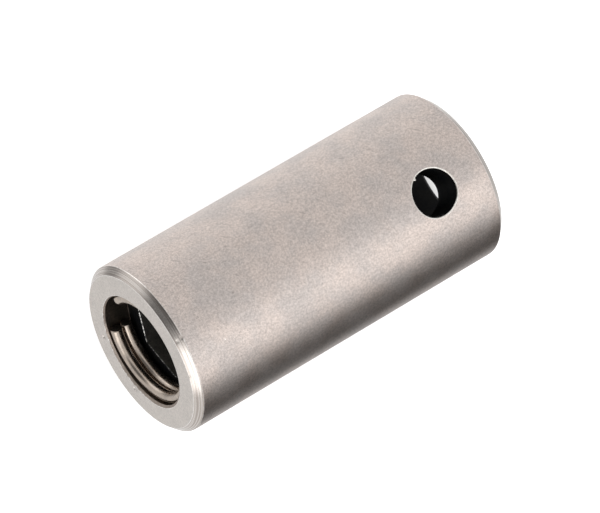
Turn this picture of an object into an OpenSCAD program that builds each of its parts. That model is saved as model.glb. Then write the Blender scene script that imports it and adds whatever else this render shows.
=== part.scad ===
// Sleeve coupling: a turned steel sleeve that joins a round shaft to a hexagonal drive.
// The sleeve lies along X. The drive enters at the mouth, at -X. The shaft enters at +X and
// is held by a cross pin. Two split wire rings sit in a recess just inside the mouth.

/* [Sleeve] */
// Outer diameter of the sleeve
sleeve_d = 15; // [12:0.5:24]
// Overall length of the sleeve
sleeve_l = 31.7; // [26:0.1:60]
// Width of the 45 degree chamfer round each end
end_chamfer = 0.6; // [0.2:0.1:1]

/* [Shaft end] */
// Diameter of the shaft bore
shaft_d = 8; // [5:0.1:9]
// Depth of the shaft bore from the pin end
shaft_depth = 15; // [10:0.5:22]
// Width of the chamfer at the mouth of the shaft bore
shaft_chamfer = 0.3; // [0.1:0.1:0.8]
// Diameter of the cross hole for the pin
pin_d = 4; // [2:0.1:5]
// Distance from the pin end to the middle of the cross hole
pin_from_end = 5.6; // [4:0.1:8]

/* [Drive end] */
// Width of the hexagonal socket across its flats
hex_af = 7; // [5:0.1:8]
// Diameter of the opening in the lip that holds the rings in
mouth_d = 10; // [9.6:0.1:11]
// Thickness of the lip
lip_t = 0.2; // [0.2:0.05:0.5]
// Width of the chamfer on the lip's outer edge
lip_chamfer = 0.1; // [0.05:0.05:0.15]

/* [Retaining rings] */
// Diameter of the ring wire
wire_d = 1; // [0.7:0.05:1.2]
// How far each ring reaches behind the lip, on the radius
ring_hold = 0.1; // [0.05:0.05:0.3]
// Angle of the gap between the ends of a ring
ring_gap = 54; // [20:1:60]
// Direction of the gap, from -Z towards +Y
gap_direction = 56; // [0:1:359]
// Angle that the pair of rings leans by in the recess
ring_lean = 1.8; // [0:0.1:3]

/* [Clearances] */
// Gap between a ring and the wall of the recess, on the radius
ring_clearance = 0.05; // [0.03:0.01:0.1]
// Gap between the two rings, and at each end of the pair
ring_play = 0.02; // [0.01:0.01:0.1]

/* [Hidden] */
$fn = 96;
STEEL = [0.72, 0.69, 0.66];
WIRE_STEEL = [0.62, 0.58, 0.52];
// Length by which a cut runs past the face that it opens
past = 1;
mouth_x = -sleeve_l / 2;
pin_end_x = sleeve_l / 2;
// The rings' outer radius reaches behind the lip; the wire's middle runs one wire radius inside it
ring_outer_r = mouth_d / 2 + ring_hold;
ring_mean_r = ring_outer_r - wire_d / 2;
ring_pitch = wire_d + ring_play;
recess_d = 2 * (ring_outer_r + ring_clearance);
// The leaning pair needs this much room along X
pair_length = wire_d + ring_pitch * cos(ring_lean) + 2 * ring_mean_r * sin(ring_lean);
recess_length = pair_length + 2 * ring_play;
recess_x = mouth_x + lip_t;
hex_x = recess_x + recess_length;
shaft_x = pin_end_x - shaft_depth;
pair_x = recess_x + recess_length / 2;
hex_corner_d = hex_af / cos(30);

// Turns a shape built along +Z so that it runs along +X, starting at x
module along_x(x) {
    translate([x, 0, 0]) rotate([0, 90, 0]) children();
}

// The turned blank, with a chamfer round each end
module blank() {
    straight_l = sleeve_l - 2 * end_chamfer;
    face_d = sleeve_d - 2 * end_chamfer;
    along_x(mouth_x + end_chamfer) cylinder(d = sleeve_d, h = straight_l);
    along_x(mouth_x) cylinder(d1 = face_d, d2 = sleeve_d, h = end_chamfer);
    along_x(pin_end_x - end_chamfer) cylinder(d1 = sleeve_d, d2 = face_d, h = end_chamfer);
}

// Opening, lip chamfer and ring recess at the mouth
module mouth_cut() {
    flare = past + lip_chamfer;
    along_x(mouth_x - past) cylinder(d = mouth_d, h = past + lip_t + past / 2);
    along_x(mouth_x - past) cylinder(d1 = mouth_d + 2 * flare, d2 = mouth_d, h = flare);
    along_x(recess_x) cylinder(d = recess_d, h = recess_length);
}

// Hexagonal socket from the recess to the shaft bore, with a corner towards +Z
module hex_cut() {
    along_x(hex_x - past / 2) cylinder(d = hex_corner_d, h = shaft_x - hex_x + past, $fn = 6);
}

// Shaft bore with its chamfered mouth
module shaft_cut() {
    flare = past + shaft_chamfer;
    along_x(shaft_x) cylinder(d = shaft_d, h = shaft_depth + past);
    along_x(pin_end_x - shaft_chamfer) cylinder(d1 = shaft_d, d2 = shaft_d + 2 * flare, h = flare);
}

// Hole for the pin, through both walls
module pin_cut() {
    translate([pin_end_x - pin_from_end, 0, -sleeve_d / 2 - past]) {
        cylinder(d = pin_d, h = sleeve_d + 2 * past);
    }
}

module sleeve() {
    color(STEEL) difference() {
        blank();
        mouth_cut();
        hex_cut();
        shaft_cut();
        pin_cut();
    }
}

// One split ring of round wire, set off from the middle of the pair.
// The pair leans so that the gap stands nearest the mouth.
module wire_ring(offset_along_pair) {
    color(WIRE_STEEL) along_x(pair_x) rotate([0, 0, gap_direction]) rotate([0, ring_lean, 0]) {
        translate([0, 0, offset_along_pair]) rotate([0, 0, ring_gap / 2]) {
            rotate_extrude(angle = 360 - ring_gap) translate([ring_mean_r, 0]) circle(d = wire_d);
        }
    }
}

module front_ring() {
    wire_ring(-ring_pitch / 2);
}

module rear_ring() {
    wire_ring(ring_pitch / 2);
}

sleeve();
front_ring();
rear_ring();
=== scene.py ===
# %% [markdown]
# # A turned steel sleeve coupling
#
# The part is small: a steel sleeve 15 mm across that joins a round shaft to a hexagonal drive.
# It has three pieces. The sleeve is turned, drilled, broached and heat treated, and two split
# rings of spring wire sit in a recess just inside its mouth. This lesson builds each piece as a
# mesh in code, gives each kind of surface its own finish, and lights them as a small product.

# %% Load the frame
import math

import bmesh
import bpy
from mathutils import Matrix, Vector, noise


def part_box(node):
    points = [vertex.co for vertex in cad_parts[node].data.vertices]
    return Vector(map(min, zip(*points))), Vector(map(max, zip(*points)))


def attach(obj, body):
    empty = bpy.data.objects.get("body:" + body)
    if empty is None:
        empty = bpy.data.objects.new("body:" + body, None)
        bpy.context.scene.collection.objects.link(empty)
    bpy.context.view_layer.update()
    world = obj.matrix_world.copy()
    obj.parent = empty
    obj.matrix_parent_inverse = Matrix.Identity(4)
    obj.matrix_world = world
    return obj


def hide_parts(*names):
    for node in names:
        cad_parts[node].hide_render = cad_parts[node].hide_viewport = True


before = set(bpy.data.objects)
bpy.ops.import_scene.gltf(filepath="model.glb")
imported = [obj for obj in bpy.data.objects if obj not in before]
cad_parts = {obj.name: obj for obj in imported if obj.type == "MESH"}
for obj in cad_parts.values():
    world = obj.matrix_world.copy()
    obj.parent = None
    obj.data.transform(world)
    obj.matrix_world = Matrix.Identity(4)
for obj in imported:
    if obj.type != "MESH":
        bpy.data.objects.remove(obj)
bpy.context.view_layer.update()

# %% [markdown]
# ## The driving sizes
#
# The sleeve lies along X with its mouth at -X, and the frame gives its length and diameter. The
# other sizes are those of the design, in millimetres, so that they read like a drawing. A helper
# turns them into metres, which is what Blender works in.

# %% Sizes of the design
MM = 0.001
sleeve_low, sleeve_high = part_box("sleeve")
OUTER_R = sleeve_high.z / MM
MOUTH_X = sleeve_low.x / MM
PIN_END_X = sleeve_high.x / MM
END_CHAMFER = 0.6
SHAFT_R = 4.0
SHAFT_DEPTH = 15.0
SHAFT_X = PIN_END_X - SHAFT_DEPTH
SHAFT_CHAMFER = 0.3
PIN_R = 2.0
PIN_FROM_END = 5.6
PIN_X = PIN_END_X - PIN_FROM_END
HEX_AF = 7.0
LIP_R = 5.0
LIP_T = 0.2
LIP_CHAMFER = 0.1
RECESS_R = 5.15
RECESS_X = MOUTH_X + LIP_T
RECESS_W = 2.3485
HEX_X = RECESS_X + RECESS_W
print("mouth at", round(MOUTH_X, 2), "pin hole at", round(PIN_X, 2), "shoulder at", round(HEX_X, 2))

# %% [markdown]
# ## The camera first
#
# A small part looks natural through a long lens from well back, where its sides stay nearly
# parallel. The camera stands thirty sleeve diameters away and is turned about its own line of
# sight, because the sleeve lies slanting in the view. Three angles and two small moves aside say
# all of that. They are set before anything is built, so every test render can be compared.

# %% Place the camera
DIAMETER = 2 * OUTER_R * MM
CAMERA_AZIMUTH = math.radians(-104.41)
CAMERA_ELEVATION = math.radians(64.66)
CAMERA_ROLL = math.radians(75.52)
CAMERA_DISTANCE = 30 * DIAMETER
CAMERA_ASIDE = 0.0174 * DIAMETER
CAMERA_ABOVE = 0.0246 * DIAMETER
LENS_MM = 333.1
SENSOR_MM = 36
CLIP_NEAR, CLIP_FAR = 0.01, 10


def camera_axes():
    """The camera's right, up and back directions, from its three angles."""
    back = Vector((
        math.sin(CAMERA_AZIMUTH) * math.cos(CAMERA_ELEVATION),
        -math.cos(CAMERA_AZIMUTH) * math.cos(CAMERA_ELEVATION),
        math.sin(CAMERA_ELEVATION),
    ))
    level = Vector((math.cos(CAMERA_AZIMUTH), math.sin(CAMERA_AZIMUTH), 0))
    right = Matrix.Rotation(CAMERA_ROLL, 3, back) @ level
    return right, back.cross(right), back


def make_camera():
    data = bpy.data.cameras.new("camera")
    data.lens = LENS_MM
    data.sensor_width = SENSOR_MM
    data.clip_start = CLIP_NEAR
    data.clip_end = CLIP_FAR
    camera = bpy.data.objects.new("camera", data)
    right, up, back = camera_axes()
    turn = Matrix((right, up, back)).transposed().to_4x4()
    place = back * CAMERA_DISTANCE + right * CAMERA_ASIDE + up * CAMERA_ABOVE
    camera.matrix_world = Matrix.Translation(place) @ turn
    bpy.context.scene.collection.objects.link(camera)
    bpy.context.scene.camera = camera
    return camera


camera = make_camera()
print("camera at", [round(v, 4) for v in camera.location])

# %% [markdown]
# ## Rows and bands
#
# Everything turned on a lathe is a stack of circles. The sleeve is therefore built from rows of
# vertices, each row a full turn about X, and neighbouring rows are joined by a band of faces.
# Spinning a profile with a modifier would do the same, but rows made by hand can also be
# hexagonal, and can leave a gap where the cross hole goes through.

# %% Rows and bands
SEGMENTS = 360


def ring_point(x, radius, angle):
    """A point of the sleeve in metres; angle 0 is +Z and a quarter turn is +Y."""
    return Vector((x * MM, radius * math.sin(angle) * MM, radius * math.cos(angle) * MM))


def add_row(bm, x, radius):
    """One full turn of vertices. radius is a number, or a function of the angle."""
    row = []
    for k in range(SEGMENTS):
        angle = 2 * math.pi * k / SEGMENTS
        r = radius(angle) if callable(radius) else radius
        row.append(bm.verts.new(ring_point(x, r, angle)))
    return row


def add_faces(bm, first, second, finish):
    """Joins two closed rows of the same length with a band of faces."""
    count = len(first)
    for k in range(count):
        after = (k + 1) % count
        face = bm.faces.new((first[k], first[after], second[after], second[k]))
        face.material_index = finish
        face.smooth = True


print("a full turn has", SEGMENTS, "vertices")

# %% [markdown]
# ## Rounded corners
#
# A drawing gives the sleeve as a profile of corners, and a real tool leaves each of them slightly
# round. A bevel modifier would round all of them alike. Here each corner has its own rounding, and
# a long stretch is cut into shorter ones, so that the faces stay even.

# %% Rounded profiles
CORNER_STEPS = 4
LONGEST_BAND = 1.2


def rounded_profile(corners, longest):
    """Points (x, radius, finish) along a profile whose corners are (x, radius, rounding, finish).
    The finish is that of the stretch that leads to the next corner."""
    path = []
    for k, (x, r, rounding, finish) in enumerate(corners):
        here = Vector((x, r))
        before = corners[k - 1][3] if k else finish
        if rounding:
            to_last = (Vector(corners[k - 1][:2]) - here).normalized() * rounding
            to_next = (Vector(corners[k + 1][:2]) - here).normalized() * rounding
            for s in range(CORNER_STEPS + 1):
                t = s / CORNER_STEPS
                p = here + to_last * (1 - t) ** 2 + to_next * t ** 2
                path.append((p.x, p.y, before if t < 0.5 else finish))
        else:
            path.append((x, r, finish))
    dense = [path[0]]
    for start, end in zip(path, path[1:]):
        length = math.dist(start[:2], end[:2])
        parts = max(1, math.ceil(length / longest))
        for s in range(1, parts + 1):
            t = s / parts
            x = start[0] + (end[0] - start[0]) * t
            r = start[1] + (end[1] - start[1]) * t
            dense.append((x, r, end[2] if s == parts else start[2]))
    return dense


def add_profile(bm, corners, first=None, longest=LONGEST_BAND):
    """Rows along a rounded profile, joined up; first can be a row that already exists."""
    path = rounded_profile(corners, longest)
    rows = []
    for k, (x, r, finish) in enumerate(path):
        rows.append(first if k == 0 and first else add_row(bm, x, r))
    for (x, r, finish), a, b in zip(path, rows, rows[1:]):
        add_faces(bm, a, b, finish)
    return rows


print("a rounded corner has", CORNER_STEPS, "bands")

# %% [markdown]
# ## A round hole through a round wall
#
# The cross hole is the hard part of this mesh. A boolean cut would leave long thin faces that
# shade badly on polished metal. Here the wall has a rectangular gap instead, and rings of
# vertices lead from the gap's edge in to the hole's rim, each lying exactly on the cylinder.
# The same function pierces the outer wall and the shaft bore, above and below.

# %% Leave a gap in a band of wall
HOLE_HALF = 45
HOLE_ROWS = 36
PATCH_HALF_X = 3.2
PATCH_LOW_X = PIN_X - PATCH_HALF_X
PATCH_HIGH_X = PIN_X + PATCH_HALF_X


def columns_from_hole(k):
    """How many columns k is from the nearer hole's middle, with its sign."""
    half = SEGMENTS // 2
    return (k + half // 2) % half - half // 2


def pierced_rows(bm, first, last, radius, finish):
    """Rows between first and last, with both rectangular gaps left open."""
    rows = [first]
    for i in range(1, HOLE_ROWS):
        x = PATCH_LOW_X + 2 * PATCH_HALF_X * i / HOLE_ROWS
        row = []
        for k in range(SEGMENTS):
            inside = abs(columns_from_hole(k)) < HOLE_HALF
            place = ring_point(x, radius, 2 * math.pi * k / SEGMENTS)
            row.append(None if inside else bm.verts.new(place))
        rows.append(row)
    rows.append(last)
    for i in range(HOLE_ROWS):
        for k in range(SEGMENTS):
            after = (k + 1) % SEGMENTS
            corner = (rows[i][k], rows[i][after], rows[i + 1][after], rows[i + 1][k])
            spans_gap = -HOLE_HALF <= columns_from_hole(k) < HOLE_HALF
            if not spans_gap:
                face = bm.faces.new(corner)
                face.material_index = finish
                face.smooth = True
    return rows


print("each gap is", 2 * HOLE_HALF, "columns wide and", HOLE_ROWS, "rows long")

# %% [markdown]
# ## The edge of the gap
#
# The gap is a rectangle and the hole is a circle, and the two have to share one count of vertices.
# So the gap's edge is walked once, and each vertex keeps its direction from the hole's middle. The
# rim then gets one vertex in each of those directions, and no face has to be cut.

# %% Walk the gap and place the rim
def gap_loop(rows, middle):
    """The vertices round one gap, in order, each with its direction from the hole's middle."""
    low, high = -HOLE_HALF, HOLE_HALF
    places = [(0, k) for k in range(low, high)]
    places += [(i, high) for i in range(HOLE_ROWS)]
    places += [(HOLE_ROWS, k) for k in range(high, low, -1)]
    places += [(i, low) for i in range(HOLE_ROWS, 0, -1)]
    loop = []
    for i, k in places:
        along = 2 * i / HOLE_ROWS - 1
        across = k / HOLE_HALF
        loop.append((rows[i][(middle + k) % SEGMENTS], math.atan2(across, along)))
    return loop


def rim_point(radius, side, reach, depth, direction):
    """A point reach from the hole's axis and depth below the wall, outwards of side (+1 or -1)."""
    x = PIN_X + reach * math.cos(direction)
    y = reach * math.sin(direction)
    z = side * (math.sqrt(radius ** 2 - y ** 2) - depth)
    return Vector((x, y, z)) * MM


print("each hole's rim has", 2 * (2 * HOLE_HALF + HOLE_ROWS), "vertices")

# %% [markdown]
# ## From the gap in to the rim
#
# Rings of vertices close in from the gap to the rim, crowded near the hole where the shape bends
# most. Each ring is put back onto the cylinder, so the wall stays round. The rim itself turns down
# into the hole through a quarter circle, and the hole's wall joins the outer and the inner rim.

# %% Rings in to the rim
HOLE_RINGS = 12
RING_CROWDING = 1.5
RIM_STEPS = 4
HOLE_WALL_ROWS = 8


def rim_rows(bm, rows, radius, middle, rounding, into_wall, finish, edge_finish):
    """Rings from a gap's edge to the rim and round its edge; returns the last ring."""
    side = 1 if middle == 0 else -1
    loop = gap_loop(rows, middle)
    # Going round the gap the other way at the lower hole keeps y on its own side.
    directions = [direction * side for vertex, direction in loop]
    last = [vertex for vertex, direction in loop]
    edge = PIN_R + rounding
    for ring in range(HOLE_RINGS - 1, -1, -1):
        share = (ring / HOLE_RINGS) ** RING_CROWDING
        row = []
        for (outer, _), direction in zip(loop, directions):
            start = rim_point(radius, side, edge, 0, direction) / MM
            place = start.lerp(outer.co / MM, share)
            place.z = side * math.sqrt(radius ** 2 - place.y ** 2)
            row.append(bm.verts.new(place * MM))
        add_faces(bm, last, row, finish)
        last = row
    for s in range(1, RIM_STEPS + 1):
        turn = math.pi / 2 * s / RIM_STEPS
        reach = edge - rounding * math.sin(turn)
        depth = rounding * (1 - math.cos(turn)) * into_wall
        row = [bm.verts.new(rim_point(radius, side, reach, depth, d)) for d in directions]
        add_faces(bm, last, row, edge_finish)
        last = row
    return last


def join_rims(bm, outer, inner, finish):
    """The hole's own wall, between the outer rim and the inner one."""
    last = outer
    for s in range(1, HOLE_WALL_ROWS):
        t = s / HOLE_WALL_ROWS
        row = [bm.verts.new(a.co.lerp(b.co, t)) for a, b in zip(outer, inner)]
        add_faces(bm, last, row, finish)
        last = row
    add_faces(bm, last, inner, finish)


print("a rim is reached through", HOLE_RINGS, "rings and rounded in", RIM_STEPS, "steps")

# %% [markdown]
# ## The hexagonal socket
#
# The drive end of the sleeve has a hexagonal hole, cut by a broach that leaves a small lead-in.
# It could be a six-sided prism, but then its rows wouldn't match the round ones. Here each row has
# the same count of vertices as every other, and its distance from the axis follows the hexagon.

# %% The hexagonal socket
SKIN, FACED, CHAMFER, BORE, WORN, RECESS, LIP, HEX_WALL, HEX_EDGE = range(9)
HEX_LEAD = 0.04
HEX_BANDS = 12


def hex_radius(angle):
    """Distance from the axis to the hexagon's side; its corners are at +Z and every 60 degrees."""
    from_middle = (angle % (math.pi / 3)) - math.pi / 6
    return HEX_AF / 2 / math.cos(from_middle)


def hex_rows(bm):
    """The socket's walls with a small lead-in; returns the rows at its two ends."""
    front = add_row(bm, HEX_X, lambda a: hex_radius(a) + HEX_LEAD)
    last = add_row(bm, HEX_X + HEX_LEAD, hex_radius)
    add_faces(bm, front, last, HEX_EDGE)
    for s in range(1, HEX_BANDS + 1):
        x = HEX_X + HEX_LEAD + (SHAFT_X - HEX_X - HEX_LEAD) * s / HEX_BANDS
        row = add_row(bm, x, hex_radius)
        add_faces(bm, last, row, HEX_WALL)
        last = row
    return front, last


print("the hexagon's corners are", round(hex_radius(0), 3), "mm from the axis")

# %% [markdown]
# ## Round the section
#
# With those helpers the sleeve is a walk round its section: out of the hexagonal socket, up the
# shoulder, along the recess, round the lip, across the end face, over the chamfer, along the
# outside, round the far end and back down the shaft bore. Every corner gets a small rounding,
# because a real edge is never perfectly sharp and that thin band is what catches the light.

# %% Round the section
SHOULDER_EDGE = 0.2
LIP_STRAIGHT = 0.04
CLOSE_BAND = 0.08
CLOSE_REACH = 0.4
BORE_MOUTH_EDGE = 0.06


def mouth_side(bm, hex_front):
    """From the socket out through the mouth and along the outside to the pierced band."""
    shoulder = add_row(bm, HEX_X, lambda a: (hex_radius(a) + RECESS_R) / 2)
    add_faces(bm, hex_front, shoulder, BORE)
    corners = [
        (HEX_X, RECESS_R - SHOULDER_EDGE, 0, BORE),
        (HEX_X, RECESS_R, 0.1, RECESS),
        (RECESS_X, RECESS_R, 0.05, RECESS),
        (RECESS_X, LIP_R, 0.02, LIP),
        (RECESS_X - LIP_STRAIGHT, LIP_R, 0.02, LIP),
        (MOUTH_X, LIP_R + LIP_CHAMFER, 0.03, FACED),
        (MOUTH_X, OUTER_R - END_CHAMFER, 0.06, CHAMFER),
        (MOUTH_X + END_CHAMFER, OUTER_R, 0.08, SKIN),
        (MOUTH_X + END_CHAMFER + CLOSE_REACH, OUTER_R, 0, SKIN),
    ]
    # The face and the chamfer get closer rows than the long outside, because they carry dents.
    rows = add_profile(bm, corners, longest=CLOSE_BAND)
    add_faces(bm, shoulder, rows[0], BORE)
    outside = [corners[-1], (PATCH_LOW_X, OUTER_R, 0, SKIN)]
    return add_profile(bm, outside, first=rows[-1])[-1]


def pin_side(bm):
    """From the pierced band round the far end to the pierced band of the shaft bore."""
    corners = [
        (PATCH_HIGH_X, OUTER_R, 0, SKIN),
        (PIN_END_X - END_CHAMFER, OUTER_R, 0.07, CHAMFER),
        (PIN_END_X, OUTER_R - END_CHAMFER, 0.07, FACED),
        (PIN_END_X, SHAFT_R + SHAFT_CHAMFER + BORE_MOUTH_EDGE, 0, BORE),
        (PIN_END_X, SHAFT_R + SHAFT_CHAMFER, 0.05, BORE),
        (PIN_END_X - SHAFT_CHAMFER, SHAFT_R, 0.05, BORE),
        (PATCH_HIGH_X, SHAFT_R, 0, BORE),
    ]
    rows = add_profile(bm, corners)
    return rows[0], rows[-1]


def shaft_side(bm, hex_back):
    """From the pierced band of the shaft bore down to its bottom and in to the socket."""
    corners = [
        (PATCH_LOW_X, SHAFT_R, 0, BORE),
        (SHAFT_X, SHAFT_R, 0, BORE),
    ]
    rows = add_profile(bm, corners)
    add_faces(bm, rows[-1], hex_back, BORE)
    return rows[0]


print("the shaft bore is", round(PIN_END_X - SHAFT_X, 2), "mm deep")

# %% [markdown]
# ## The sleeve
#
# The sleeve is one piece of steel, so it has to be one closed mesh. The walk round the section
# leaves two bands open, on the outside and in the shaft bore, and the pierced bands fill them. An
# edge with only one face would be a hole in the mesh, so the open edges are counted at the end.

# %% Build the sleeve
OUTER_RIM_ROUNDING = 0.13
INNER_RIM_ROUNDING = 0.05
SHARP_ANGLE = math.radians(40)


def build_sleeve():
    bm = bmesh.new()
    hex_front, hex_back = hex_rows(bm)
    outer_low = mouth_side(bm, hex_front)
    outer_high, bore_high = pin_side(bm)
    bore_low = shaft_side(bm, hex_back)
    outer_rows = pierced_rows(bm, outer_low, outer_high, OUTER_R, SKIN)
    bore_rows = pierced_rows(bm, bore_low, bore_high, SHAFT_R, BORE)
    for middle in (0, SEGMENTS // 2):
        outer = rim_rows(bm, outer_rows, OUTER_R, middle, OUTER_RIM_ROUNDING, 1, SKIN, WORN)
        inner = rim_rows(bm, bore_rows, SHAFT_R, middle, INNER_RIM_ROUNDING, -1, BORE, BORE)
        join_rims(bm, outer, inner, BORE)
    bmesh.ops.recalc_face_normals(bm, faces=bm.faces)
    open_edges = sum(1 for e in bm.edges if not e.is_manifold)
    print("sleeve:", len(bm.verts), "vertices, open edges:", open_edges)
    mesh = bpy.data.meshes.new("turned_sleeve")
    bm.to_mesh(mesh)
    bm.free()
    mesh.set_sharp_from_angle(angle=SHARP_ANGLE)
    piece = bpy.data.objects.new("turned_sleeve", mesh)
    bpy.context.scene.collection.objects.link(piece)
    return piece


sleeve = build_sleeve()

# %% [markdown]
# ## Small damage
#
# A turned edge is rarely perfect. This sleeve has a few nicks on its chamfer and two pits on the
# end face. A bump map could only shade them, so the vertices themselves are moved. Each dent is
# deepest in its middle and fades out smoothly, because a knock leaves no sharp border.

# %% Nicks and pits
DENTS = {
    "nick at the top of the chamfer": (MOUTH_X + 0.55, OUTER_R, 2.0, 0.20, 0.05),
    "nick beside it": (MOUTH_X + 0.2, OUTER_R - 0.4, 1.0, 0.16, 0.03),
    "nick lower on the chamfer": (MOUTH_X + 0.05, OUTER_R - 0.6, 335.0, 0.20, 0.08),
    "first pit on the face": (MOUTH_X, 5.7, 159.8, 0.24, 0.2),
    "second pit on the face": (MOUTH_X, 5.4, 211.5, 0.32, 0.22),
}


def press_dent(mesh, x, radius, angle, width, depth):
    """Pushes the vertices near a point inwards along their normals; returns how many moved."""
    middle = ring_point(x, radius, math.radians(angle))
    moved = 0
    for v in mesh.vertices:
        gap = (v.co - middle).length / (width * MM)
        if gap < 1:
            v.co -= v.normal * depth * MM * (1 - gap * gap) ** 2
            moved += 1
    return moved


for name, dent in DENTS.items():
    print(name, "moves", press_dent(sleeve.data, *dent), "vertices")

# %% [markdown]
# ## The rolled and ragged lip
#
# The lip is a thin wall that keeps the rings in. Over part of the turn it is pressed inwards, and
# over a shorter part its edge is ragged where the cutter tore the steel. Both are made by moving
# vertices towards the axis. The raggedness comes from a noise of the vertex's own place, which is
# the same every run.

# %% Roll and roughen the lip
ROLLED_FROM, ROLLED_TO = 140, 340
ROLLED_FADE = 25
ROLLED_DEPTH = 0.13
LIP_TOLERANCE = 0.005
RAGGED_FROM, RAGGED_TO = 130, 235
RAGGED_DEPTH = 0.14
RAGGED_BAND = 0.16
RAGGED_GRAIN = 0.12
RAGGED_SLANT = 0.6


def turned_place(v):
    """A vertex's place along the axis and distance from it in mm, and its angle in degrees."""
    r = math.hypot(v.co.y, v.co.z) / MM
    angle = math.degrees(math.atan2(v.co.y, v.co.z)) % 360
    return v.co.x / MM, r, angle


def roll_lip(mesh):
    """Presses part of the lip's edge inwards, as it is when the rings are locked in."""
    moved = 0
    for v in mesh.vertices:
        x, r, angle = turned_place(v)
        inside = min(angle - ROLLED_FROM, ROLLED_TO - angle) / ROLLED_FADE
        share = min(1, (LIP_R + LIP_CHAMFER - r) / LIP_CHAMFER)
        if x < RECESS_X + LIP_TOLERANCE and inside > 0 and share > 0:
            push = ROLLED_DEPTH * share * min(1, inside) / r
            v.co.y -= v.co.y * push
            v.co.z -= v.co.z * push
            moved += 1
    return moved


def roughen_lip(mesh):
    """Jitters the lip's edge inwards over one stretch; the same noise every run."""
    moved = 0
    for v in mesh.vertices:
        x, r, angle = turned_place(v)
        on_lip = x < MOUTH_X + LIP_CHAMFER and r < LIP_R + RAGGED_BAND
        if on_lip and RAGGED_FROM < angle < RAGGED_TO:
            push = noise.noise(v.co / (RAGGED_GRAIN * MM)) * RAGGED_DEPTH
            v.co.y -= v.co.y * abs(push) / r
            v.co.z -= v.co.z * abs(push) / r
            v.co.x += abs(push) * RAGGED_SLANT * MM
            moved += 1
    return moved


print("the rolled lip moves", roll_lip(sleeve.data), "vertices")
print("the ragged lip moves", roughen_lip(sleeve.data), "vertices")

# %% [markdown]
# ## The burr on the cross hole
#
# A drill often leaves a small tooth of steel on the rim. It could be a tiny piece of its own, but
# on the real part it is one with the sleeve. So a few vertices of the rim are drawn in towards
# the hole's axis, most in the middle of the burr.

# %% Burr on the rim
BURR_DIRECTION = math.radians(119.5)
BURR_WIDTH = 0.16
BURR_REACH = 0.2
BURR_BAND = 0.12
RIM_ZONE = 0.6


def raise_burr(mesh):
    """Draws a little of the cross hole's upper rim inwards, as a drill's burr stands."""
    moved = 0
    for v in mesh.vertices:
        x, y = v.co.x / MM - PIN_X, v.co.y / MM
        reach = math.hypot(x, y)
        off = abs(math.atan2(y, x) - BURR_DIRECTION) * PIN_R / BURR_WIDTH
        at_rim = v.co.z / MM > OUTER_R - RIM_ZONE and abs(reach - PIN_R) < BURR_BAND
        if at_rim and off < 1:
            pull = BURR_REACH * (1 - off * off) ** 2 / reach
            v.co.x -= x * pull * MM
            v.co.y -= y * pull * MM
            moved += 1
    return moved


print("the burr moves", raise_burr(sleeve.data), "vertices")
sleeve.data.update()

# %% [markdown]
# ## The two wire rings
#
# Each ring is spring wire bent almost full circle, with a gap between its cut ends. The pair
# leans a little in its recess, with the gap's side nearest the mouth. The rings are placed by
# turning and moving them as the design does, so that they lie exactly where its rings lie.

# %% Where the rings lie
WIRE_R = 0.5
RING_R = 4.6
RING_GAP = math.radians(54)
RING_LEAN = math.radians(1.8)
GAP_DIRECTION = math.radians(56)
RING_PITCH = 1.02
PAIR_X = (RECESS_X + HEX_X) / 2


def ring_matrix(offset):
    """Where a ring lies: the same turns, in the same order, as in the design."""
    return (
        Matrix.Translation((PAIR_X, 0, 0))
        @ Matrix.Rotation(math.pi / 2, 4, "Y")
        @ Matrix.Rotation(GAP_DIRECTION, 4, "Z")
        @ Matrix.Rotation(RING_LEAN, 4, "Y")
        @ Matrix.Translation((0, 0, offset))
        @ Matrix.Rotation(RING_GAP / 2, 4, "Z")
    )


print("the middle of the pair is at", round(PAIR_X, 3), "mm")

# %% [markdown]
# ## Sweep the wire
#
# A curve with a round bevel could draw the wire, but its ends would be flat discs with razor
# edges. Sweeping a circle in code lets the cut ends be softened as a wire cutter leaves them. The
# ends get a finish of their own, duller than drawn wire and painted dark as painted shade.

# %% Build the rings
WIRE_SIDES = 36
WIRE_STEPS = 200
END_SOFTNESS = 0.07
END_SIZES = ((0, 0.86), (0.3, 0.95), (1, 1))


def wire_row(bm, place, turn, radius):
    """A circle of the wire at an angle round the ring."""
    row = []
    for k in range(WIRE_SIDES):
        a = 2 * math.pi * k / WIRE_SIDES
        reach = RING_R + radius * math.cos(a)
        point = Vector((reach * math.cos(turn), reach * math.sin(turn), radius * math.sin(a)))
        row.append(bm.verts.new((place @ point) * MM))
    return row


def build_ring(name, offset):
    bm = bmesh.new()
    place = ring_matrix(offset)
    sweep = 2 * math.pi - RING_GAP
    soft = END_SOFTNESS / RING_R
    stations = [(soft * share, size) for share, size in END_SIZES]
    stations += [(sweep * s / WIRE_STEPS, 1) for s in range(1, WIRE_STEPS)]
    stations += [(sweep - turn, size) for turn, size in reversed(stations[:3])]
    rows = [wire_row(bm, place, turn, WIRE_R * size) for turn, size in stations]
    for a, b in zip(rows, rows[1:]):
        add_faces(bm, a, b, 0)
    for row, turn in ((rows[0], 0), (rows[-1], sweep)):
        middle = place @ Vector((RING_R * math.cos(turn), RING_R * math.sin(turn), 0))
        tip = bm.verts.new(middle * MM)
        for k in range(WIRE_SIDES):
            face = bm.faces.new((row[k], row[(k + 1) % WIRE_SIDES], tip))
            face.material_index = 1
    bmesh.ops.recalc_face_normals(bm, faces=bm.faces)
    mesh = bpy.data.meshes.new(name)
    bm.to_mesh(mesh)
    bm.free()
    mesh.set_sharp_from_angle(angle=SHARP_ANGLE)
    piece = bpy.data.objects.new(name, mesh)
    bpy.context.scene.collection.objects.link(piece)
    return piece


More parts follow.
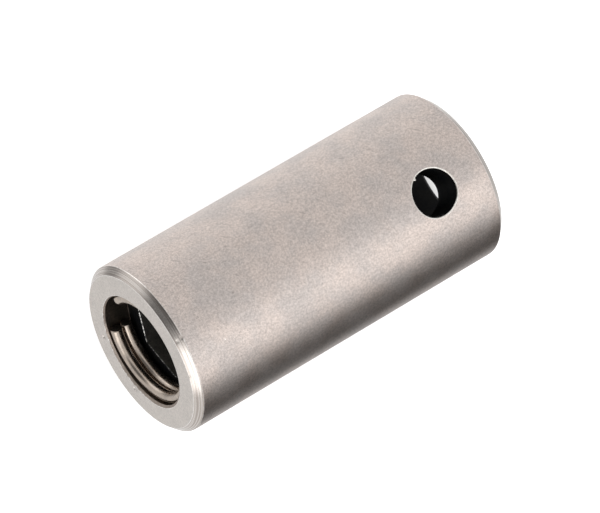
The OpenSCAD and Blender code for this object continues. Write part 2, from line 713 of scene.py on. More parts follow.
front_wire = build_ring("front_wire_ring", -RING_PITCH / 2)
rear_wire = build_ring("rear_wire_ring", RING_PITCH / 2)
for piece, node in ((front_wire, "front_ring"), (rear_wire, "rear_ring")):
    low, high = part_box(node)
    reach = max(v.co.y for v in piece.data.vertices) - high.y
    print(node, "differs from the design by", round(reach / MM, 3), "mm across")

# %% [markdown]
# ## Shared surface effects
#
# Several finishes need the same small effects: grain, lathe lines, cloudy heat tint, worn edges
# and specks of dust. Each is a node group with its own inputs, built once and set differently in
# each material. A group could hold the whole finish, but then its shader settings would be
# hidden inside, so the groups here put out only masks, colours and heights.

# %% Helpers for node trees
def node_in(tree, kind, **settings):
    """Adds a node; a setting whose name is a socket sets that socket, and others set properties."""
    node = tree.nodes.new(kind)
    for name, value in settings.items():
        socket_name = name.replace("_", " ")
        if socket_name in node.inputs:
            node.inputs[socket_name].default_value = value
        else:
            setattr(node, name, value)
    return node


def math_in(tree, operation, first, second=None, clamp=False):
    """A math node whose inputs are sockets or numbers; returns its output socket."""
    node = tree.nodes.new("ShaderNodeMath")
    node.operation = operation
    node.use_clamp = clamp
    for k, value in enumerate((first, second)):
        if value is None:
            continue
        if isinstance(value, (int, float)):
            node.inputs[k].default_value = value
        else:
            tree.links.new(value, node.inputs[k])
    return node.outputs[0]


def range_in(tree, value, low, high, to_low=0.0, to_high=1.0):
    """A smooth step of value from low..high to to_low..to_high; returns its output socket."""
    node = tree.nodes.new("ShaderNodeMapRange")
    node.interpolation_type = "SMOOTHSTEP"
    limits = {"From Min": low, "From Max": high, "To Min": to_low, "To Max": to_high}
    for name, number in limits.items():
        node.inputs[name].default_value = number
    tree.links.new(value, node.inputs["Value"])
    return node.outputs["Result"]


print("node helpers are ready in Blender", bpy.app.version_string)

# %% [markdown]
# ## Helpers for groups
#
# A group is a small node tree with sockets of its own. Its sizes are given in millimetres, like
# the rest of this lesson, and the place it is fed is in metres, so one helper turns one into the
# other.

# %% Helpers for groups
def new_group(name, inputs, outputs):
    """A node group with (name, kind, default) inputs and (name, kind) outputs."""
    tree = bpy.data.node_groups.new(name, "ShaderNodeTree")
    for label, kind, default in inputs:
        socket = tree.interface.new_socket(label, in_out="INPUT", socket_type=kind)
        if default is not None:
            socket.default_value = default
    for label, kind in outputs:
        tree.interface.new_socket(label, in_out="OUTPUT", socket_type=kind)
    return tree, tree.nodes.new("NodeGroupInput"), tree.nodes.new("NodeGroupOutput")


FLOAT = "NodeSocketFloat"
VECTOR = "NodeSocketVector"
COLOR = "NodeSocketColor"


def scaled_place(tree, place, size):
    """place divided by a size in millimetres, so that a texture's features are that big."""
    per_metre = math_in(tree, "DIVIDE", 1000.0, size)
    node = node_in(tree, "ShaderNodeVectorMath", operation="SCALE")
    tree.links.new(place, node.inputs[0])
    tree.links.new(per_metre, node.inputs["Scale"])
    return node.outputs["Vector"]


def noise_in(tree, place, detail=2.0, roughness=0.5):
    node = node_in(tree, "ShaderNodeTexNoise", Scale=1.0, Detail=detail, Roughness=roughness)
    tree.links.new(place, node.inputs["Vector"])
    return node.outputs["Fac"]


print("sockets are of kinds", FLOAT, VECTOR, COLOR)

# %% [markdown]
# ## Grain
#
# Heat treatment and tumbling leave steel satin rather than mirror bright. One noise alone looks
# like an even print, so a fine and a coarser one are added together.

# %% Group: grain
def make_grain_group():
    """Fine speckle of a satin surface, at two sizes."""
    tree, inp, out = new_group(
        "satin_grain",
        [("Place", VECTOR, None), ("Size mm", FLOAT, 0.1)],
        [("Grain", FLOAT), ("Height", FLOAT)],
    )
    fine = noise_in(tree, scaled_place(tree, inp.outputs["Place"], inp.outputs["Size mm"]), 3.0, 0.6)
    wide = math_in(tree, "MULTIPLY", inp.outputs["Size mm"], 2.4)
    coarse = noise_in(tree, scaled_place(tree, inp.outputs["Place"], wide), 2.0, 0.5)
    fine_part = math_in(tree, "MULTIPLY", fine, 0.6)
    both = math_in(tree, "ADD", fine_part, math_in(tree, "MULTIPLY", coarse, 0.4))
    tree.links.new(range_in(tree, both, 0.3, 0.7), out.inputs["Grain"])
    tree.links.new(both, out.inputs["Height"])
    return tree


GRAIN = make_grain_group()
print("group", GRAIN.name, "has", len(GRAIN.nodes), "nodes")

# %% [markdown]
# ## Lathe lines
#
# A turning tool leaves circles round the axis. A wave texture would draw them all alike. Here a
# noise of the position across the lines gives each its own depth, and a second noise lets a line
# fade along its length.

# %% Group: lathe lines
FADING_PER_METRE = 120.0


def make_lathe_group():
    """Circular tool lines. Along picks lines across the length (1) or across the radius (0)."""
    tree, inp, out = new_group(
        "lathe_lines",
        [("Place", VECTOR, None), ("Pitch mm", FLOAT, 0.1), ("Along", FLOAT, 0.0)],
        [("Line", FLOAT), ("Height", FLOAT)],
    )
    parts = node_in(tree, "ShaderNodeSeparateXYZ")
    tree.links.new(inp.outputs["Place"], parts.inputs[0])
    y2 = math_in(tree, "POWER", parts.outputs["Y"], 2.0)
    z2 = math_in(tree, "POWER", parts.outputs["Z"], 2.0)
    radius = math_in(tree, "SQRT", math_in(tree, "ADD", y2, z2))
    share_x = math_in(tree, "MULTIPLY", parts.outputs["X"], inp.outputs["Along"])
    rest = math_in(tree, "SUBTRACT", 1.0, inp.outputs["Along"])
    across = math_in(tree, "ADD", share_x, math_in(tree, "MULTIPLY", radius, rest))
    turns = math_in(tree, "DIVIDE", math_in(tree, "MULTIPLY", across, 1000.0), inp.outputs["Pitch mm"])
    # One noise reads only the position across the lines, so each line has its own depth.
    lone = node_in(tree, "ShaderNodeTexNoise", noise_dimensions="1D", Scale=1.0, Detail=3.0)
    tree.links.new(turns, lone.inputs["W"])
    # A second noise reads a stretched place, so that a line fades along its length.
    stretched = node_in(tree, "ShaderNodeCombineXYZ")
    tree.links.new(turns, stretched.inputs["X"])
    for axis in "YZ":
        slow = math_in(tree, "MULTIPLY", parts.outputs[axis], FADING_PER_METRE)
        tree.links.new(slow, stretched.inputs[axis])
    fading = noise_in(tree, stretched.outputs[0], 2.0, 0.6)
    kept = range_in(tree, fading, 0.3, 0.65, 0.35, 1.0)
    height = math_in(tree, "MULTIPLY", lone.outputs["Fac"], kept)
    tree.links.new(range_in(tree, height, 0.2, 0.5), out.inputs["Line"])
    tree.links.new(height, out.inputs["Height"])
    return tree


LATHE = make_lathe_group()
print("group", LATHE.name, "has", len(LATHE.nodes), "nodes")

# %% [markdown]
# ## Cloudy heat tint
#
# Steel comes out of the furnace in soft blotches of warmer and cooler grey. Two colours mixed by a
# wide noise give that, and the grain is laid over them, so that no blotch is flat.

# %% Group: cloudy heat tint
def make_cloud_group():
    """Soft blotches between a warm and a cool grey, as heat treatment leaves them."""
    tree, inp, out = new_group(
        "heat_clouds",
        [
            ("Place", VECTOR, None),
            ("Size mm", FLOAT, 3.0),
            ("Warm", COLOR, (0.6, 0.57, 0.55, 1)),
            ("Cool", COLOR, (0.5, 0.5, 0.52, 1)),
            ("Grain", FLOAT, 0.5),
            ("Speckle", FLOAT, 0.15),
        ],
        [("Color", COLOR), ("Cloud", FLOAT)],
    )
    cloud = noise_in(tree, scaled_place(tree, inp.outputs["Place"], inp.outputs["Size mm"]), 5.0, 0.58)
    cloud = range_in(tree, cloud, 0.33, 0.67)
    mix = node_in(tree, "ShaderNodeMix", data_type="RGBA")
    tree.links.new(cloud, mix.inputs["Factor"])
    tree.links.new(inp.outputs["Warm"], mix.inputs["A"])
    tree.links.new(inp.outputs["Cool"], mix.inputs["B"])
    # The grain darkens or lightens the tint a little, round a factor of one.
    spread = math_in(tree, "SUBTRACT", inp.outputs["Grain"], 0.5)
    factor = math_in(tree, "ADD", 1.0, math_in(tree, "MULTIPLY", spread, inp.outputs["Speckle"]))
    shade = node_in(tree, "ShaderNodeVectorMath", operation="SCALE")
    tree.links.new(mix.outputs["Result"], shade.inputs[0])
    tree.links.new(factor, shade.inputs["Scale"])
    tree.links.new(shade.outputs["Vector"], out.inputs["Color"])
    tree.links.new(cloud, out.inputs["Cloud"])
    return tree


CLOUDS = make_cloud_group()
print("group", CLOUDS.name, "has", len(CLOUDS.nodes), "nodes")

# %% [markdown]
# ## Worn edges
#
# Edges are rubbed bright by handling, but never all along. Bevel and pointiness nodes could find
# edges, but an exported model loses them. So closeness to an edge is painted on the mesh later,
# and this group breaks that line up with noise.

# %% Group: worn edges
def make_wear_group():
    """Turns the mesh's painted closeness to an edge into a broken, worn line."""
    tree, inp, out = new_group(
        "edge_wear",
        [("Place", VECTOR, None), ("Edge", FLOAT, 0.0), ("Size mm", FLOAT, 0.3), ("Amount", FLOAT, 1.0)],
        [("Wear", FLOAT)],
    )
    patchy = noise_in(tree, scaled_place(tree, inp.outputs["Place"], inp.outputs["Size mm"]), 4.0, 0.65)
    reach = math_in(tree, "ADD", inp.outputs["Edge"], math_in(tree, "SUBTRACT", patchy, 0.5))
    worn = range_in(tree, reach, 0.55, 0.95)
    tree.links.new(math_in(tree, "MULTIPLY", worn, inp.outputs["Amount"], clamp=True), out.inputs["Wear"])
    return tree


WEAR = make_wear_group()
print("group", WEAR.name, "has", len(WEAR.nodes), "nodes")

# %% [markdown]
# ## Dust specks
#
# At this size a grain of dust shows. A Voronoi texture splits space into random cells, and a speck
# is drawn at the middle of a few of them. The cell's own random colour decides which. The lip uses
# the same specks, larger and crowded, as painted glints.

# %% Group: dust specks
def make_dust_and_glint_group():
    """Scattered pale specks, one to a random cell, most cells empty."""
    tree, inp, out = new_group(
        "dust_and_glint_specks",
        [("Place", VECTOR, None), ("Spacing mm", FLOAT, 1.0), ("Reach", FLOAT, 0.06),
         ("Share", FLOAT, 0.3)],
        [("Dust", FLOAT)],
    )
    place = scaled_place(tree, inp.outputs["Place"], inp.outputs["Spacing mm"])
    cells = node_in(tree, "ShaderNodeTexVoronoi", feature="F1", Scale=1.0)
    tree.links.new(place, cells.inputs["Vector"])
    near = math_in(tree, "LESS_THAN", cells.outputs["Distance"], inp.outputs["Reach"])
    colour = node_in(tree, "ShaderNodeSeparateXYZ")
    tree.links.new(cells.outputs["Color"], colour.inputs[0])
    chosen = math_in(tree, "LESS_THAN", colour.outputs["X"], inp.outputs["Share"])
    tree.links.new(math_in(tree, "MULTIPLY", near, chosen), out.inputs["Dust"])
    return tree


DUST_AND_GLINTS = make_dust_and_glint_group()
print("group", DUST_AND_GLINTS.name, "has", len(DUST_AND_GLINTS.nodes), "nodes")

# %% [markdown]
# ## Hairline scratches
#
# Loose parts in a box scratch each other. A noise stretched along one slanting direction has long
# thin peaks, and only the highest are kept, and only where a second noise allows it.

# %% Group: hairline scratches
def make_scratch_group():
    """Short fine scratches: long thin cells of a stretched noise, kept only in a few places."""
    tree, inp, out = new_group(
        "hairline_scratches",
        [("Place", VECTOR, None), ("Length mm", FLOAT, 2.0), ("Width mm", FLOAT, 0.08),
         ("Amount", FLOAT, 0.5)],
        [("Scratch", FLOAT)],
    )
    turned = node_in(tree, "ShaderNodeVectorRotate", rotation_type="EULER_XYZ", Rotation=(0.5, 0.35, 0.9))
    tree.links.new(inp.outputs["Place"], turned.inputs["Vector"])
    parts = node_in(tree, "ShaderNodeSeparateXYZ")
    tree.links.new(turned.outputs["Vector"], parts.inputs[0])
    size = {"X": inp.outputs["Length mm"], "Y": inp.outputs["Width mm"], "Z": inp.outputs["Width mm"]}
    stretched = node_in(tree, "ShaderNodeCombineXYZ")
    for axis, width in size.items():
        along = math_in(tree, "MULTIPLY", parts.outputs[axis], 1000.0)
        tree.links.new(math_in(tree, "DIVIDE", along, width), stretched.inputs[axis])
    line = range_in(tree, noise_in(tree, stretched.outputs[0], 0.0), 0.74, 0.80)
    spread = math_in(tree, "MULTIPLY", inp.outputs["Length mm"], 1.5)
    where = noise_in(tree, scaled_place(tree, inp.outputs["Place"], spread), 1.0)
    kept = math_in(tree, "MULTIPLY", line, range_in(tree, where, 0.5, 0.62))
    tree.links.new(math_in(tree, "MULTIPLY", kept, inp.outputs["Amount"]), out.inputs["Scratch"])
    return tree


SCRATCH = make_scratch_group()
print("group", SCRATCH.name, "has", len(SCRATCH.nodes), "nodes")

# %% [markdown]
# ## The finishes
#
# Nearly all of them are bare steel, so they are metallic Principled shaders. What tells them apart
# is how the surface was made: the outside is heat treated and satin, the end faces are faced flat,
# the chamfers keep the tool's lines and the rim of the cross hole is rubbed bright. Only the bore
# isn't metallic: it is painted near black, as painted shade for its dark inside.

# %% Helpers for the finishes
def new_finish(name, roughness):
    """An empty metallic material; returns it with its tree and shader."""
    material = bpy.data.materials.new(name)
    material.use_nodes = True
    tree = material.node_tree
    shader = tree.nodes["Principled BSDF"]
    shader.inputs["Metallic"].default_value = 1.0
    shader.inputs["Roughness"].default_value = roughness
    place = tree.nodes.new("ShaderNodeTexCoord").outputs["Object"]
    return material, tree, shader, place


def use_group(tree, group, place, **values):
    """Puts a group into a material, fed with the place; values are numbers or sockets."""
    node = tree.nodes.new("ShaderNodeGroup")
    node.node_tree = group
    tree.links.new(place, node.inputs["Place"])
    for label, value in values.items():
        socket = node.inputs[label.replace("_", " ")]
        if isinstance(value, bpy.types.NodeSocket):
            tree.links.new(value, socket)
        else:
            socket.default_value = value
    return node


def bump_from(tree, shader, *layers):
    """Stacks bump layers of (height socket, strength, depth in mm) onto the shader's normal."""
    normal = None
    for height, strength, depth in layers:
        bump = node_in(tree, "ShaderNodeBump", Strength=strength, Distance=depth * MM)
        tree.links.new(height, bump.inputs["Height"])
        if normal:
            tree.links.new(normal, bump.inputs["Normal"])
        normal = bump.outputs["Normal"]
    tree.links.new(normal, shader.inputs["Normal"])


def mix_colour(tree, mask, below, above):
    """below where mask is 0 and above where it is 1; each is a socket or a colour."""
    mix = node_in(tree, "ShaderNodeMix", data_type="RGBA")
    tree.links.new(mask, mix.inputs["Factor"])
    for label, value in (("A", below), ("B", above)):
        if isinstance(value, bpy.types.NodeSocket):
            tree.links.new(value, mix.inputs[label])
        else:
            mix.inputs[label].default_value = (*value, 1)
    return mix.outputs["Result"]


def mix_number(tree, mask, below, above):
    """A number that goes from below to above as mask goes from 0 to 1."""
    return range_in(tree, mask, 0.0, 1.0, below, above)


def painted_edge(tree):
    return node_in(tree, "ShaderNodeAttribute", attribute_name="edge").outputs["Fac"]


print("effects to choose from:", [g.name for g in bpy.data.node_groups])

# %% [markdown]
# ## The outside skin
#
# This is most of what is seen, so it carries the most effects: heat tint under everything, then
# scratches, rubbed edges and dust. The order is the order in which they came to the real part.

# %% Finish: the outside skin
def make_skin():
    material, tree, shader, place = new_finish("heat_treated_skin", 0.36)
    grain = use_group(tree, GRAIN, place, Size_mm=0.075)
    clouds = use_group(
        tree, CLOUDS, place, Size_mm=2.8, Warm=(0.59, 0.512, 0.47, 1), Cool=(0.515, 0.465, 0.44, 1),
        Grain=grain.outputs["Grain"], Speckle=0.55,
    )
    lathe = use_group(tree, LATHE, place, Pitch_mm=0.05, Along=1.0)
    wear = use_group(tree, WEAR, place, Edge=painted_edge(tree), Size_mm=0.35, Amount=0.9)
    dust = use_group(tree, DUST_AND_GLINTS, place, Spacing_mm=1.1, Reach=0.045, Share=0.14)
    scratch = use_group(tree, SCRATCH, place, Length_mm=1.6, Width_mm=0.11, Amount=0.75)
    marked = mix_colour(tree, scratch.outputs["Scratch"], clouds.outputs["Color"], (0.30, 0.27, 0.25))
    worn = mix_colour(tree, wear.outputs["Wear"], marked, (0.86, 0.84, 0.81))
    dusty = mix_colour(tree, dust.outputs["Dust"], worn, (0.95, 0.94, 0.92))
    tree.links.new(dusty, shader.inputs["Base Color"])
    tree.links.new(mix_number(tree, clouds.outputs["Cloud"], 0.37, 0.41), shader.inputs["Roughness"])
    bump_from(
        tree, shader, (grain.outputs["Height"], 0.35, 0.012), (lathe.outputs["Height"], 0.12, 0.01),
    )
    return material


skin = make_skin()
print("finish", skin.name, "has", len(skin.node_tree.nodes), "nodes")

# %% [markdown]
# ## The faced ends, the chamfers and the rim
#
# The ends were faced after heat treatment, so they are paler and more even than the skin. The
# chamfers keep the tool's circles and shine more. The rim of the cross hole is the most rubbed.

# %% Finish: faced ends, chamfers and rim
def make_faced():
    material, tree, shader, place = new_finish("faced_end", 0.4)
    grain = use_group(tree, GRAIN, place, Size_mm=0.07)
    clouds = use_group(
        tree, CLOUDS, place, Size_mm=1.8, Warm=(0.635, 0.59, 0.552, 1), Cool=(0.60, 0.56, 0.525, 1),
        Grain=grain.outputs["Grain"], Speckle=0.3,
    )
    lathe = use_group(tree, LATHE, place, Pitch_mm=0.08, Along=0.0)
    wear = use_group(tree, WEAR, place, Edge=painted_edge(tree), Size_mm=0.3, Amount=0.8)
    worn = mix_colour(tree, wear.outputs["Wear"], clouds.outputs["Color"], (0.88, 0.86, 0.84))
    tree.links.new(worn, shader.inputs["Base Color"])
    bump_from(
        tree, shader, (lathe.outputs["Height"], 0.25, 0.012), (grain.outputs["Height"], 0.3, 0.01),
    )
    return material


def make_chamfer():
    material, tree, shader, place = new_finish("turned_chamfer", 0.2)
    lathe = use_group(tree, LATHE, place, Pitch_mm=0.11, Along=0.0)
    grain = use_group(tree, GRAIN, place, Size_mm=0.12)
    wear = use_group(tree, WEAR, place, Edge=painted_edge(tree), Size_mm=0.4, Amount=1.0)
    toned = mix_colour(tree, lathe.outputs["Line"], (0.46, 0.41, 0.375), (0.68, 0.63, 0.59))
    worn = mix_colour(tree, wear.outputs["Wear"], toned, (0.92, 0.90, 0.88))
    tree.links.new(worn, shader.inputs["Base Color"])
    tree.links.new(mix_number(tree, grain.outputs["Grain"], 0.16, 0.25), shader.inputs["Roughness"])
    bump_from(
        tree, shader, (lathe.outputs["Height"], 0.3, 0.014), (grain.outputs["Height"], 0.15, 0.008),
    )
    return material


def make_worn():
    material, tree, shader, place = new_finish("rubbed_bright", 0.22)
    grain = use_group(tree, GRAIN, place, Size_mm=0.15)
    toned = mix_colour(tree, grain.outputs["Grain"], (0.62, 0.57, 0.52), (0.92, 0.90, 0.86))
    tree.links.new(toned, shader.inputs["Base Color"])
    bump_from(tree, shader, (grain.outputs["Height"], 0.6, 0.03))
    return material


faced, chamfer, rim = make_faced(), make_chamfer(), make_worn()
print("finishes", [m.name for m in (faced, chamfer, rim)])

# %% [markdown]
# ## The bore and the hexagon
#
# The bore is painted near black and hardly shines, as painted shade for its dark inside, so it is
# the one finish that isn't metallic. The broached hexagon is painted a lighter grey than the bore,
# and its lead-in is a thin line with painted glints in broken bits.

# %% Finish: bore and hexagon
def make_bore():
    material, tree, shader, place = new_finish("bore_painted_shade", 0.38)
    # Painted shade: the bore is near black and hardly mirrors, so its inside stays dark.
    shader.inputs["Metallic"].default_value = 0.0
    shader.inputs["Specular IOR Level"].default_value = 0.03
    grain = use_group(tree, GRAIN, place, Size_mm=0.14)
    clouds = use_group(
        tree, CLOUDS, place, Size_mm=1.4,
        Warm=(0.011, 0.0105, 0.010, 1), Cool=(0.0065, 0.007, 0.008, 1),
        Grain=grain.outputs["Grain"], Speckle=0.3,
    )
    lathe = use_group(tree, LATHE, place, Pitch_mm=0.12, Along=1.0)
    tree.links.new(clouds.outputs["Color"], shader.inputs["Base Color"])
    tree.links.new(mix_number(tree, clouds.outputs["Cloud"], 0.3, 0.46), shader.inputs["Roughness"])
    bump_from(
        tree, shader, (lathe.outputs["Height"], 0.3, 0.02), (grain.outputs["Height"], 0.35, 0.015),
    )
    return material


def make_hex_wall():
    material, tree, shader, place = new_finish("broached_hex", 0.42)
    grain = use_group(tree, GRAIN, place, Size_mm=0.16)
    scratch = use_group(tree, SCRATCH, place, Length_mm=1.0, Width_mm=0.12, Amount=0.8)
    toned = mix_colour(tree, grain.outputs["Grain"], (0.24, 0.235, 0.22), (0.38, 0.365, 0.34))
    marked = mix_colour(tree, scratch.outputs["Scratch"], toned, (0.34, 0.32, 0.29))
    tree.links.new(marked, shader.inputs["Base Color"])
    bump_from(tree, shader, (grain.outputs["Height"], 0.4, 0.02))
    return material


def make_hex_edge():
    material, tree, shader, place = new_finish("broached_edge_painted_glints", 0.3)
    grain = use_group(tree, GRAIN, place, Size_mm=0.11)
    # Painted glints: bright broken bits of colour on a near-black base draw the glinting lead-in.
    broken = range_in(tree, grain.outputs["Height"], 0.47, 0.56)
    glints = mix_colour(tree, broken, (0.05, 0.05, 0.048), (0.72, 0.70, 0.67))
    tree.links.new(glints, shader.inputs["Base Color"])
    bump_from(tree, shader, (grain.outputs["Height"], 0.6, 0.03))
    return material


bore, hex_wall, hex_edge = make_bore(), make_hex_wall(), make_hex_edge()
print("finishes", [m.name for m in (bore, hex_wall, hex_edge)])

# %% [markdown]
# ## The recess and the lip
#
# The recess behind the rings is painted dark brown, as painted shade inside the recess. The lip is
# the same painted shade of brown, and along its torn edge large, crowded pale specks of the dust
# group stand for glints, as painted glints.

# %% Finish: recess and lip
def make_recess():
    material, tree, shader, place = new_finish("recess_painted_shade", 0.34)
    grain = use_group(tree, GRAIN, place, Size_mm=0.12)
    lathe = use_group(tree, LATHE, place, Pitch_mm=0.1, Along=1.0)
    # Painted shade: the recess is a much darker brown than the outside steel.
    toned = mix_colour(tree, grain.outputs["Grain"], (0.20, 0.168, 0.14), (0.32, 0.275, 0.235))
    tree.links.new(toned, shader.inputs["Base Color"])
    bump_from(
        tree, shader, (lathe.outputs["Height"], 0.4, 0.02), (grain.outputs["Height"], 0.3, 0.01),
    )
    return material


def make_lip():
    material, tree, shader, place = new_finish("burred_lip_painted_shade", 0.55)
    grain = use_group(tree, GRAIN, place, Size_mm=0.1)
    wear = use_group(tree, WEAR, place, Edge=painted_edge(tree), Size_mm=0.3, Amount=1.0)
    # Painted shade: the lip's brown is darker than the faced end beside it.
    toned = mix_colour(tree, grain.outputs["Grain"], (0.27, 0.222, 0.188), (0.44, 0.38, 0.335))
    worn = mix_colour(tree, wear.outputs["Wear"], toned, (0.93, 0.91, 0.88))
    # Painted glints: large, crowded pale specks along the torn edge.
    burr_glints = use_group(tree, DUST_AND_GLINTS, place, Spacing_mm=0.34, Reach=0.24, Share=0.3)
    bright = mix_colour(tree, burr_glints.outputs["Dust"], worn, (0.97, 0.95, 0.92))
    tree.links.new(bright, shader.inputs["Base Color"])
    bump_from(tree, shader, (grain.outputs["Height"], 0.5, 0.02))
    return material


recess, lip = make_recess(), make_lip()
print("finishes", [m.name for m in (recess, lip)])

# %% [markdown]
# ## The ring wire
#
# Spring wire is drawn through a die, which leaves it smooth and shiny, with a warm tint from
# tempering. Its cut ends are dull, and painted dark as painted shade.

# %% Finish: ring wire and cut ends
def make_wire():
    material, tree, shader, place = new_finish("drawn_spring_wire", 0.24)
    grain = use_group(tree, GRAIN, place, Size_mm=0.1)
    clouds = use_group(
        tree, CLOUDS, place, Size_mm=0.9, Warm=(0.50, 0.425, 0.36, 1), Cool=(0.41, 0.355, 0.31, 1),
        Grain=grain.outputs["Grain"], Speckle=0.14,
    )
    tree.links.new(clouds.outputs["Color"], shader.inputs["Base Color"])
    tree.links.new(mix_number(tree, clouds.outputs["Cloud"], 0.22, 0.3), shader.inputs["Roughness"])
    bump_from(tree, shader, (grain.outputs["Height"], 0.2, 0.008))
    return material


def make_cut_end():
    material, tree, shader, place = new_finish("cut_wire_end_painted_shade", 0.45)
    grain = use_group(tree, GRAIN, place, Size_mm=0.12)
    # Painted shade: the cut ends are near black.
    toned = mix_colour(tree, grain.outputs["Grain"], (0.06, 0.055, 0.05), (0.14, 0.13, 0.12))
    tree.links.new(toned, shader.inputs["Base Color"])
    bump_from(tree, shader, (grain.outputs["Height"], 0.6, 0.03))
    return material


wire_finish, cut_finish = make_wire(), make_cut_end()
print("finishes", [m.name for m in (wire_finish, cut_finish)])

# %% [markdown]
# ## Paint the edges
#
# Each vertex gets a number that is 1 on a worn edge and falls to 0 a little way off. It could be
# painted by hand, but the edges are circles whose places are known, so a distance does it. The
# ragged part of the lip gets a wider, fainter band of bright wear, painted to stand for glints on
# its torn edge.

# %% Paint closeness to an edge
WEAR_REACH = 0.09
RIM_TOLERANCE = 0.05
BURRED_START = 0.26
BURRED_REACH = 0.5


def paint_edges(piece, corners, reach):
    """Paints each vertex with its closeness to the nearest worn circle, as (x, radius) corners."""
    layer = piece.data.attributes.new("edge", "FLOAT", "POINT")
    values = []
    for v in piece.data.vertices:
        x, r, angle = turned_place(v)
        gap = min(math.hypot(x - cx, r - cr) for cx, cr in corners)
        hole = math.hypot(x - PIN_X, v.co.y / MM) - PIN_R
        if r > OUTER_R - RIM_ZONE and hole > -RIM_TOLERANCE:
            gap = min(gap, hole)
        # On the ragged lip a wider, fainter band of bright wear is painted to stand for glints on the
        # torn edge.
        if x < RECESS_X and RAGGED_FROM < angle < RAGGED_TO:
            lip_gap = math.hypot(x - MOUTH_X, r - LIP_R - LIP_CHAMFER)
            gap = min(gap, reach * (BURRED_START + lip_gap / BURRED_REACH))
        values.append(max(0.0, 1 - gap / reach))
    layer.data.foreach_set("value", values)
    return sum(1 for value in values if value > 0)


worn_corners = [
    (MOUTH_X, OUTER_R - END_CHAMFER),
    (MOUTH_X + END_CHAMFER, OUTER_R),
    (MOUTH_X, LIP_R + LIP_CHAMFER),
    (PIN_END_X, OUTER_R - END_CHAMFER),
    (PIN_END_X - END_CHAMFER, OUTER_R),
    (PIN_END_X, SHAFT_R + SHAFT_CHAMFER),
]
print("painted", paint_edges(sleeve, worn_corners, WEAR_REACH), "vertices near an edge")

# %% [markdown]
# ## Give the pieces their finishes
#
# The faces already hold the number of their finish, so the materials only have to be added in the
# order of those numbers. The two rings share one wire finish.

# %% Give the pieces their finishes
for material in (skin, faced, chamfer, bore, rim, recess, lip, hex_wall, hex_edge):
    sleeve.data.materials.append(material)
for piece in (front_wire, rear_wire):
    piece.data.materials.append(wire_finish)
    piece.data.materials.append(cut_finish)
print("finishes:", [m.name for m in bpy.data.materials])

# %% [markdown]
# ## Ride on the frame
#
# Each new piece stands for its node of the design and moves with that node's body, so the rings
# turn together in the sleeve.

# %% Ride and replace
for piece, node, body, slot in (
    (sleeve, "sleeve", "sleeve", "sleeve_steel"),
    (front_wire, "front_ring", "retaining_rings", "ring_wire"),
    (rear_wire, "rear_ring", "retaining_rings", "ring_wire"),
):
    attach(piece, body)
    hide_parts(node)
    print(piece.name, "stands for", node)

# %% [markdown]
# ## The floor
#
# The floor is a plain pale disc that glows a little, so that it stays white in an even light. That
# glow also washes out the sleeve's own shadow, so a soft grey patch under the sleeve stands in for
# it. The patch has a fixed place on the floor and doesn't depend on the camera.

# %% Floor
FLOOR_RADIUS = 1.5
FLOOR_SIDES = 64
UNDER_SLEEVE = ((3.0, 0.0), (12.5, 1.5), (0.0, 5.0))


def floor_shadow(tree, middle, half, fade):
    """A mask that is 1 within half of middle on the floor and fades out around it, all in mm."""
    place = node_in(tree, "ShaderNodeSeparateXYZ")
    tree.links.new(tree.nodes.new("ShaderNodeTexCoord").outputs["Object"], place.inputs[0])
    squares = []
    for k, axis in enumerate("XY"):
        offset = math_in(tree, "SUBTRACT", place.outputs[axis], middle[k] * MM)
        beyond = math_in(tree, "SUBTRACT", math_in(tree, "ABSOLUTE", offset), half[k] * MM)
        squares.append(math_in(tree, "POWER", math_in(tree, "MAXIMUM", beyond, 0.0), 2.0))
    gap = math_in(tree, "SQRT", math_in(tree, "ADD", squares[0], squares[1]))
    return range_in(tree, gap, fade[0] * MM, fade[1] * MM, 1.0, 0.0)


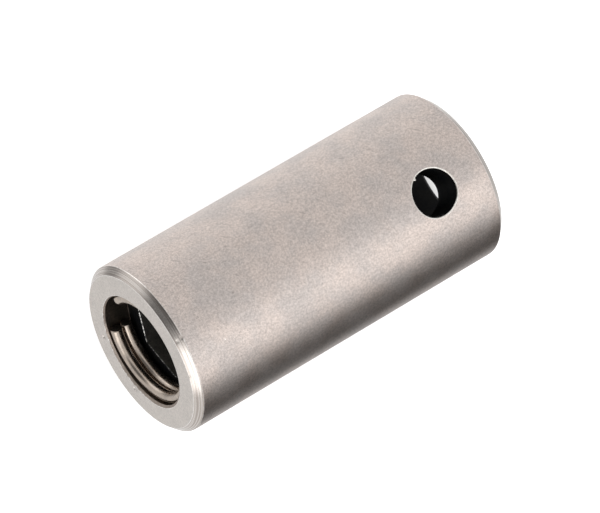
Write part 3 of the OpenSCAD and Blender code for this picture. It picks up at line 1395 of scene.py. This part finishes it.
def make_floor():
    bm = bmesh.new()
    bmesh.ops.create_circle(bm, cap_ends=True, segments=FLOOR_SIDES, radius=FLOOR_RADIUS)
    mesh = bpy.data.meshes.new("floor")
    bm.to_mesh(mesh)
    bm.free()
    floor = bpy.data.objects.new("floor", mesh)
    floor.location = (0, 0, sleeve_low.z)
    bpy.context.scene.collection.objects.link(floor)
    material = bpy.data.materials.new("pale_floor")
    material.use_nodes = True
    tree = material.node_tree
    shader = tree.nodes["Principled BSDF"]
    shader.inputs["Roughness"].default_value = 1.0
    shader.inputs["Emission Strength"].default_value = 1.0
    under = floor_shadow(tree, *UNDER_SLEEVE)
    soft = mix_colour(tree, under, (0.9, 0.9, 0.9), (0.42, 0.42, 0.42))
    glow = mix_colour(tree, under, (0.6, 0.6, 0.6), (0.05, 0.05, 0.05))
    tree.links.new(soft, shader.inputs["Base Color"])
    tree.links.new(glow, shader.inputs["Emission Color"])
    mesh.materials.append(material)
    floor.visible_glossy = False
    return floor


floor = make_floor()
print("the floor lies at", round(floor.location.z / MM, 2), "mm")

# %% [markdown]
# ## The surrounding light
#
# Metal shows its surroundings, so the light is a pale room rather than lamps. Brighter patches
# stand for softboxes and draw the highlights along the sleeve, and darker ones draw the soft
# shadow lines between them. Each patch is a direction, so it lights the part the same from any
# view.

# %% Surrounding light
ROOM_LEVEL = 0.9
PATCHES = {
    "overhead softbox": ((0.20, -0.62, 0.76), 10, 38, 1.55),
    "side softbox": ((-0.82, -0.53, 0.20), 14, 27, 2.2),
    "far side strip": ((-0.30, 0.94, -0.12), 8, 26, 1.7),
    "upper side glow": ((0.42, 0.88, -0.20), 4, 30, 1.08),
    "bright floor beyond": ((0.45, 0.52, -0.72), 8, 34, 1.15),
    "far end shade": ((0.91, -0.05, -0.41), 6, 26, 0.66),
    "low side shade": ((-0.25, 0.64, -0.72), 4, 20, 0.4),
    "dark flag": ((0.41, -0.86, -0.30), 13, 38, 0.02),
    "mouth side shade": ((-0.80, 0.42, 0.43), 14, 36, 0.17),
}


def make_world():
    """A pale soft room with a few brighter and darker patches, each (towards, core, reach, level)."""
    world = bpy.data.worlds.new("soft_studio")
    bpy.context.scene.world = world
    world.use_nodes = True
    tree = world.node_tree
    background = tree.nodes["Background"]
    direction = tree.nodes.new("ShaderNodeTexCoord").outputs["Generated"]
    light = (ROOM_LEVEL, ROOM_LEVEL, ROOM_LEVEL)
    for towards, core, reach, level in PATCHES.values():
        dot = node_in(tree, "ShaderNodeVectorMath", operation="DOT_PRODUCT")
        dot.inputs[1].default_value = Vector(towards).normalized()
        tree.links.new(direction, dot.inputs[0])
        low, high = math.cos(math.radians(reach)), math.cos(math.radians(core))
        mask = range_in(tree, dot.outputs["Value"], low, high)
        light = mix_colour(tree, mask, light, (level, level, level))
    tree.links.new(light, background.inputs["Color"])
    return world


make_world()
bpy.context.scene.view_settings.view_transform = "Standard"
print("the room has", len(PATCHES), "patches")
